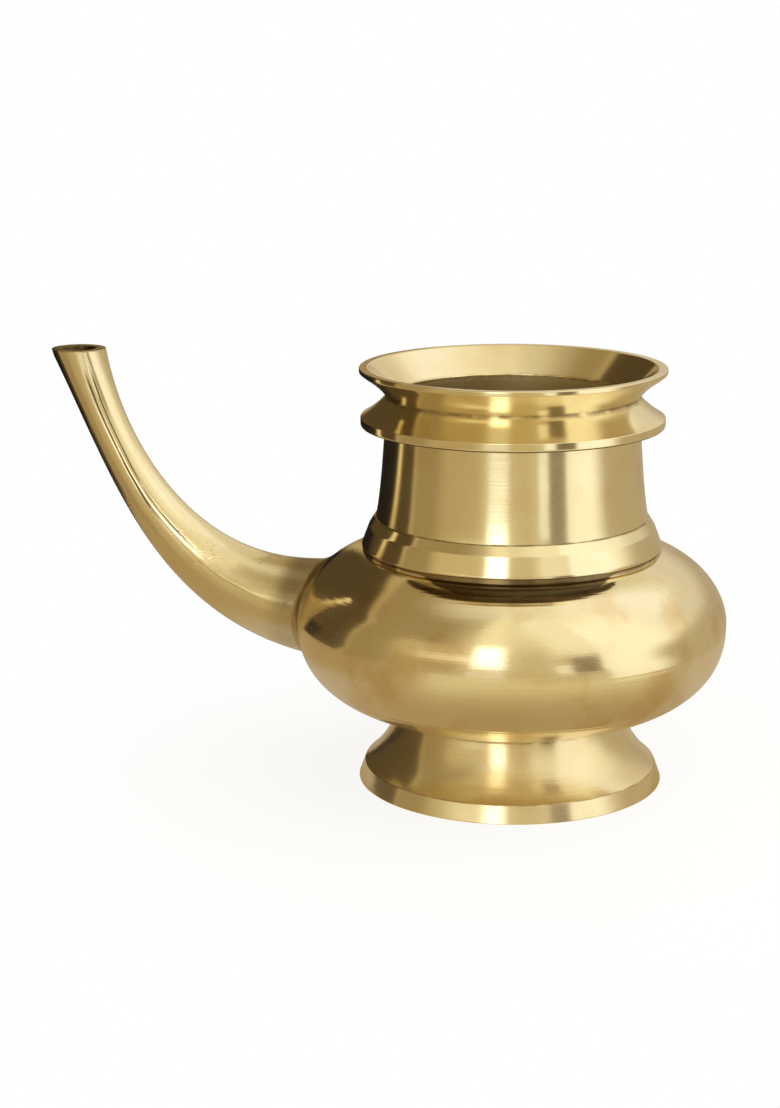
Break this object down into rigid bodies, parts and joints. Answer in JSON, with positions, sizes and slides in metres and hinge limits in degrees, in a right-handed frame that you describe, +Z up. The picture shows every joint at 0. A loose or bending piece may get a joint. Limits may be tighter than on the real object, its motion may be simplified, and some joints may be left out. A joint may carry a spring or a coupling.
{
  "type": "spouted water pot",
  "caption": "Polished brass pouring pot on a flared foot: squat belly, banded collar, tapering neck, double-flanged open mouth and a long upswept hollow spout.",
  "frame": {"origin": "on the plane that the foot stands on, at the middle of the pot's own box; the axis that the body is turned about stands at x = 0.0403 m", "axes": "+Z up along the turned body, -X towards the spout's tip, +Y across the spout"},
  "size_m": [0.2106, 0.13, 0.128],
  "materials": {
    "polished_brass": "turned and polished to a mirror, with faint turning lines and light handling marks",
    "braze_filler": "dressed braze filler, a little paler and duller than the castings"
  },
  "bodies": {
    "root": {"foot": "polished_brass", "lower_bowl": "polished_brass", "upper_bowl": "polished_brass", "shoulder_collar": "polished_brass", "neck": "polished_brass", "mouth_ring": "polished_brass", "spout": "polished_brass", "foot_braze": "braze_filler", "belly_braze": "braze_filler", "collar_braze": "braze_filler", "neck_braze": "braze_filler", "mouth_braze": "braze_filler", "spout_braze": "braze_filler"}
  },
  "joints": []
}
